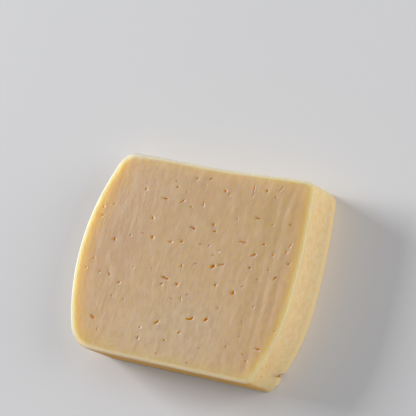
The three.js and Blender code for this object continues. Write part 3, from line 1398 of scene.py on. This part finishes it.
    def side_seat(self, y: float, z: float) -> Seat:
        """Finds a seat on the lower part of the right side.

        Args:
            y: Its place up the section.
            z: Its height above the lower cut face.

        Returns:
            The seat, whose length runs up the section.
        """
        arc = self.section.right_lower
        angle = math.asin((y - arc.y) / arc.radius)
        outward = np.array([math.cos(angle), math.sin(angle), 0.0])
        upward = np.array([-math.sin(angle), math.cos(angle), 0.0])
        origin = np.array([arc.x, arc.y, z]) + arc.radius * outward
        return Seat(origin, upward, np.array([0.0, 0.0, 1.0]), outward)

    def make_eye_cutter(self, eye: Eye, seat: Seat, draw: random.Random) -> bpy.types.Object:
        """Shapes the tool that cuts one eye: a soft lip over an uneven, bent hollow.

        Args:
            eye: The eye's size.
            seat: Where it is cut.
            draw: Where its unevenness comes from.

        Returns:
            The cutter, with its place in its mesh.
        """
        deselect_all()
        shape = self.eye_shape
        rings = shape.rings
        sides = self.eye_sides[0] if eye.length > self.long_eye else self.eye_sides[1]
        bpy.ops.mesh.primitive_uv_sphere_add(segments=sides, ring_count=rings, radius=MM)
        cutter = bpy.context.object
        sphere = coordinates(cutter.data)
        height = np.arcsin(np.clip(sphere[:, 2], -1, 1)) / (FULL_TURN / 4)
        angle = np.arctan2(sphere[:, 1], sphere[:, 0])
        ring = np.round((1 - height) * rings / 2).astype(int)

        def either_way(most: float) -> float:
            """Draws a number between the negative of the most and the most."""
            return draw.uniform(-most, most)

        wobble = sum(
            either_way(shape.wobble) * np.cos(order * angle + draw.uniform(0, FULL_TURN))
            for order in shape.waves
        )
        lip = 1.0 + shape.uneven_lip * np.cos(angle + draw.uniform(0, FULL_TURN)) + wobble
        depth = eye.depth * (self.depth_share * eye.width + self.depth_extra)
        levels = shape.heights(depth)[ring]
        core = np.array(shape.core)[ring] * (1.0 + wobble)
        flare = np.array(shape.flare)[ring] * np.maximum(lip, shape.least_lip)
        flare *= min(1.0, eye.width)
        below = np.minimum(levels + shape.slant_start, 0.0)
        half_length = eye.length / 2 - (1 - self.eye_shrink) * eye.width / 2
        half_width = self.eye_shrink * eye.width / 2
        along = np.cos(angle) * (half_length * core + flare) + either_way(shape.slant) * below
        across = np.sin(angle) * (half_width * core + flare) + either_way(shape.slant) * below
        share = along / half_length
        taper = either_way(shape.taper) if eye.length > shape.taper_from * eye.width else 0.0
        is_slit = eye.length > shape.waist_from * eye.width
        waist = draw.uniform(*shape.waist) if is_slit else 0.0
        across *= (1.0 + taper * np.clip(share, -1.3, 1.3)) * (
            1 - waist * np.exp(-((share / shape.waist_reach) ** 2))
        )
        across += either_way(shape.bend) * eye.width * np.minimum(share**2, 1.5)
        set_coordinates(cutter.data, seat.place(along, across, levels))
        return cutter

    def make_gouge_cutter(self, gouge: Gouge) -> bpy.types.Object:
        """Shapes the tool that tears a wedge out of the right side.

        Args:
            gouge: The wedge's sizes.

        Returns:
            The cutter, with its place in its mesh.
        """
        deselect_all()
        bpy.ops.mesh.primitive_cube_add(size=2 * MM)
        cutter = bpy.context.object
        bpy.ops.object.mode_set(mode="EDIT")
        bpy.ops.mesh.subdivide(number_cuts=self.gouge_cuts)
        bpy.ops.object.mode_set(mode="OBJECT")
        width, depth, rise = coordinates(cutter.data).T
        rise = np.clip((rise + 1) / 2, 0.0, 1.0)
        depth = np.clip((1 - depth) / 2, 0.0, 1.0)
        overshoot, below_face, thinnest = 1.5, 1.0, 0.04
        half = np.where(width < 0, gouge.below, gouge.above)
        ragged = 1.0 + gouge.raggedness * noise_field(rise * 4 + gouge.y, width * 1.5, 31.0)
        reach = gouge.depth * (1 - rise**1.5) * ragged
        outward = overshoot - (overshoot + reach) * depth
        inside = np.clip(-outward / np.maximum(reach, 0.01), 0.0, 1.0)
        narrow = np.maximum(1 - inside, thinnest) * (1 - gouge.narrowing * rise) * ragged
        upward = width * half * narrow - gouge.lean * rise
        height = -below_face + (gouge.rise + below_face) * rise
        seat = self.side_seat(gouge.y, 0.0)
        set_coordinates(cutter.data, seat.place(upward, height, outward))
        return cutter

    def subtract(self, slab: bpy.types.Object, cutters: list[bpy.types.Object]) -> None:
        """Cuts pieces that don't touch each other out of the slab and removes them.

        Args:
            slab: The piece to cut.
            cutters: What it loses.
        """
        make_active(cutters[0])
        for cutter in cutters:
            cutter.select_set(True)
        bpy.ops.object.join()
        tool = bpy.context.object
        turn_faces_outward()
        make_active(slab)
        cut = slab.modifiers.new("cut", "BOOLEAN")
        cut.operation = "DIFFERENCE"
        cut.solver = "MANIFOLD"
        cut.object = tool
        bpy.ops.object.modifier_apply(modifier=cut.name)
        bpy.data.objects.remove(tool)

    def keep_inside(self, slab: bpy.types.Object) -> None:
        """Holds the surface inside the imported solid's box."""
        low = np.array(cad_low) / MM
        high = np.array(cad_high) / MM
        set_coordinates(slab.data, np.clip(coordinates(slab.data), low, high))

    def write_attributes(self, slab: bpy.types.Object) -> None:
        """Writes what the finish reads: one number for each vertex and name.

        Left is 1 where the nearest part of the outline is the left side, and flat is 1 on the
        loaf's top, -1 on its bottom and 0 on its sides.

        Args:
            slab: The cut slab.
        """
        finish, zones = self.finish, self.zones
        outline = self.section.even_points(self.outline_samples)
        tree = kdtree.KDTree(len(outline))
        for index, (x, y) in enumerate(outline):
            tree.insert((x, y, 0.0), index)
        tree.balance()
        places = coordinates(slab.data)
        nearest = [tree.find((x, y, 0.0)) for x, y, _ in places]
        distance = np.array([found[2] for found in nearest])
        order = [found[1] for found in nearest]
        tangents = np.roll(outline, -1, axis=0) - np.roll(outline, 1, axis=0)
        lean = (-tangents[:, 0] / np.hypot(*tangents.T))[order]
        x, y, z = places.T
        upper_depth = self.thickness - self.marks.depth(x, y, CutFace.UPPER) - z
        lower_depth = z - self.marks.depth(x, y, CutFace.LOWER)
        depth = np.minimum(upper_depth, lower_depth)

        flat = smoothstep(*zones.flat, np.abs(lean)) * np.sign(lean)
        top, bottom = np.maximum(flat, 0.0), np.maximum(-flat, 0.0)
        left = smoothstep(*zones.left, outline[order, 0])
        right = smoothstep(*zones.right, outline[order, 0])
        skin = smoothstep(*zones.skin, distance)
        ragged = distance * (1.0 + 0.35 * noise_field(x / 6, y / 6 + z / 9, 51.0))
        band = smoothstep(*zones.dense_and_glow, ragged)
        left_band = smoothstep(*zones.gilt_and_glow, ragged)
        # The dry rim reaches further on the left, where it carries a painted highlight.
        rim_end = finish.edge_width + finish.left_highlight_width * left
        edge = smoothstep(rim_end, zones.edge_end + 0.5 * left, distance)
        edge *= (
            smoothstep(*zones.upper_edge, upper_depth)
            + 0.5 * smoothstep(*zones.lower_edge, lower_depth)
        )
        foot = smoothstep(*zones.foot_rise, lower_depth) * smoothstep(*zones.foot, distance)
        crisp = 0.85 * left * smoothstep(*zones.left_rim, distance)
        crisp += 0.7 * bottom * smoothstep(*zones.bottom_rim, distance)
        patches = [(patch, patch.share(x, y)) for patch in TONE_PATCHES]
        tone = sum(patch.amount * share for patch, share in patches)

        values = {
            # Pale patches are a painted sheen, rosy ones a painted shade.
            "tone": tone + 0.25 * noise_field(x / 13, y / 19, 53.0),
            "flush": sum(patch.flush * share for patch, share in patches),
            # The bands inside the rims are partly a painted glow, weaker at the top and bottom.
            "dense_and_glow": band * (0.9 - 0.75 * top - 0.4 * bottom),
            "gilt_and_glow": left * left_band * (1.0 - 0.8 * top),
            "edge": edge,
            # Painted highlight on the left rim.
            "left_rim_highlight": left,
            # Painted light on the rim the slab rests on.
            "foot": foot * right,
            "dry": np.maximum(0.9 * foot, crisp * smoothstep(*zones.dry_rise, upper_depth)),
            "flat": flat,
            "press": skin * (0.4 + 0.6 * np.abs(flat)),
            "rind": skin * smoothstep(*zones.rind, depth),
            # Sets the painted shade in the eyes, the torn corner and the pits.
            "eye_depth": self.eye_depths(places, distance, upper_depth, lower_depth, flat),
        }
        for name, value in values.items():
            attribute = slab.data.attributes.new(name, "FLOAT", "POINT")
            attribute.data.foreach_set("value", value.astype(np.float32))
        along = lengths_along(outline)
        self.write_wrap(slab, along[order], z, float(along[-1]))

    def eye_depths(
        self,
        places: np.ndarray,
        distance: np.ndarray,
        upper_depth: np.ndarray,
        lower_depth: np.ndarray,
        flat: np.ndarray,
    ) -> np.ndarray:
        """Reads how deep each vertex lies in an eye, in the torn corner or in a pit, which sets the
        painted shade there.

        Args:
            places: The vertices, one row each.
            distance: How far they lie from the outline.
            upper_depth: How far they lie below the upper cut face.
            lower_depth: How far they lie above the lower one.
            flat: 1 on the loaf's top, -1 on its bottom and 0 on its sides.

        Returns:
            The depths. They are 0 on the cut faces and the rind.
        """
        depth = np.minimum(upper_depth, lower_depth)
        inner = smoothstep(2.2, 3.0, distance) * np.maximum(depth, 0.0)
        # The torn corner's walls and the rind pits' bottoms get painted shade by this depth.
        torn = smoothstep(1.6, 2.6, upper_depth) * smoothstep(0.2, 0.7, lower_depth)
        torn *= smoothstep(2.0, 1.0, np.abs(flat)) * (distance - 0.45)
        for pit in self.pits:
            apart = np.linalg.norm(places - self.side_seat(pit.y, pit.z).origin, axis=1)
            torn = np.maximum(torn, pit.painted_shade_at(apart))
        return np.maximum(np.maximum(inner, torn), 0.0)

    @staticmethod
    def write_wrap(
        slab: bpy.types.Object, along: np.ndarray, z: np.ndarray, whole: float
    ) -> None:
        """Wraps a UV map round the rind, in millimetres, for the mark of the pressing cloth.

        Args:
            slab: The cut slab.
            along: Each vertex's place along the outline.
            z: Each vertex's height.
            whole: Length of the whole outline.
        """
        mesh = slab.data
        corners = np.empty(len(mesh.loops), np.int32)
        mesh.loops.foreach_get("vertex_index", corners)
        starts = np.empty(len(mesh.polygons), np.int32)
        mesh.polygons.foreach_get("loop_start", starts)
        totals = np.empty(len(mesh.polygons), np.int32)
        mesh.polygons.foreach_get("loop_total", totals)
        u = along[corners]
        furthest = np.repeat(np.maximum.reduceat(u, starts), totals)
        u = np.where(furthest - u > whole / 2, u + whole, u)
        wrap = mesh.uv_layers.new(name="wrap")
        wrap.data.foreach_set("uv", np.stack([u, z[corners]], axis=1).astype(np.float32).ravel())


@dataclass(frozen=True)
class CameraRig:
    """The camera, which stands to the slab as the photographer's did.

    Attributes:
        aim: The point in the middle of the picture.
        azimuth: Where it stands round the slab, 0 on the +X side and 90 on the +Y side.
        elevation: Its height above the cut face, in degrees.
        roll: Turn of the camera about its line of sight, in degrees.
        distance: From the aim to the camera.
        lens: Focal length for the sensor's width.
        sensor: Width of the sensor.
    """

    aim: tuple[float, float, float] = (-3.36, 33.18, 11.3)
    azimuth: float = -13.34
    elevation: float = 51.01
    roll: float = -62.64
    distance: float = 958.4
    lens: float = 160.3
    sensor: float = 36.0

    def build(self) -> bpy.types.Object:
        """Places the camera and makes it the scene's.

        Returns:
            The camera.
        """
        back = direction(self.azimuth, self.elevation)
        deselect_all()
        bpy.ops.object.camera_add()
        camera = bpy.context.object
        camera.name = "camera"
        turn = (-back).to_track_quat("-Z", "Y").to_matrix().to_4x4()
        turn = turn @ Matrix.Rotation(math.radians(self.roll), 4, "Z")
        place = (Vector(self.aim) + back * self.distance) * MM
        camera.matrix_world = Matrix.Translation(place) @ turn
        camera.data.lens = self.lens
        camera.data.sensor_width = self.sensor
        camera.data.clip_start = 0.05
        camera.data.clip_end = 20.0
        bpy.context.scene.camera = camera
        return camera


@dataclass(frozen=True)
class SoftLight:
    """One large soft lamp.

    Attributes:
        name: The lamp's name.
        azimuth: Where it stands round the slab, 0 on the +X side and 90 on the +Y side.
        elevation: Its height above the table, in degrees.
        distance: From the slab, in metres.
        size: Width of the lamp, in metres.
        power: Its strength, in watts.
        colour: Its colour.
    """

    name: str
    azimuth: float
    elevation: float
    distance: float
    size: float
    power: float
    colour: Colour = (1.0, 1.0, 1.0)

    def build(self) -> bpy.types.Object:
        """Places the lamp, turned to the slab.

        Returns:
            The lamp.
        """
        away = direction(self.azimuth, self.elevation)
        deselect_all()
        bpy.ops.object.light_add(type="AREA", location=away * self.distance)
        lamp = bpy.context.object
        lamp.name = self.name
        lamp.rotation_euler = away.to_track_quat("Z", "Y").to_euler()
        lamp.data.size = self.size
        lamp.data.energy = self.power
        lamp.data.color = self.colour
        lamp.visible_camera = False
        return lamp


@dataclass(frozen=True)
class Studio:
    """The plain table, the lamps and the room's soft light.

    Attributes:
        table_size: Side of the table, in metres.
        table_colour: Its colour.
        table_roughness: Its roughness.
        room_colour: Colour of the light from all round.
        room_strength: Its strength.
        lamps: The lamps.
    """

    table_size: float = 8.0
    table_colour: Colour = (0.81, 0.81, 0.82)
    table_roughness: float = 0.8
    room_colour: Colour = (0.93, 0.95, 1.0)
    room_strength: float = 0.27
    lamps: tuple[SoftLight, ...] = (
        SoftLight("key_lamp", azimuth=172.0, elevation=16.0, distance=3.0, size=1.27, power=108.0),
        SoftLight(
            "side_lamp",
            azimuth=14.0,
            elevation=20.0,
            distance=1.6,
            size=0.9,
            power=12.7,
            colour=(1.0, 0.98, 0.95),
        ),
    )

    def build(self) -> bpy.types.Object:
        """Builds the table and lights it.

        Returns:
            The table.
        """
        deselect_all()
        bpy.ops.mesh.primitive_plane_add(size=self.table_size)
        table = bpy.context.object
        table.name = "table"
        table.data.materials.append(self.table_finish())
        for lamp in self.lamps:
            lamp.build()
        world = bpy.data.worlds.new("room")
        world.use_nodes = True
        background = world.node_tree.nodes["Background"]
        background.inputs["Color"].default_value = (*self.room_colour, 1.0)
        background.inputs["Strength"].default_value = self.room_strength
        bpy.context.scene.world = world
        return table

    def table_finish(self) -> bpy.types.Material:
        """Builds the table's smooth pale finish.

        Returns:
            The material.
        """
        material = bpy.data.materials.new("pale_table")
        material.use_nodes = True
        graph = Graph(material.node_tree)
        inputs = {"Base Color": (*self.table_colour, 1.0), "Roughness": self.table_roughness}
        graph.fill(graph.nodes["Principled BSDF"], inputs)
        return material


def main() -> None:
    """Builds the slab, its table, the light and the camera."""
    logging.basicConfig(level=logging.INFO, format="%(name)s: %(message)s")
    slab = HavartiSlab().build()
    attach(slab, BODY)
    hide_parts(NODE)
    log.info("%s: %d faces", slab.name, len(slab.data.polygons))
    table = Studio().build()
    log.info("%s", table.name)
    camera = CameraRig().build()
    log.info("%s at %s", camera.name, tuple(round(value, 3) for value in camera.location))
    scene = bpy.context.scene
    scene.view_settings.view_transform = "Standard"


if __name__ == "__main__":
    main()
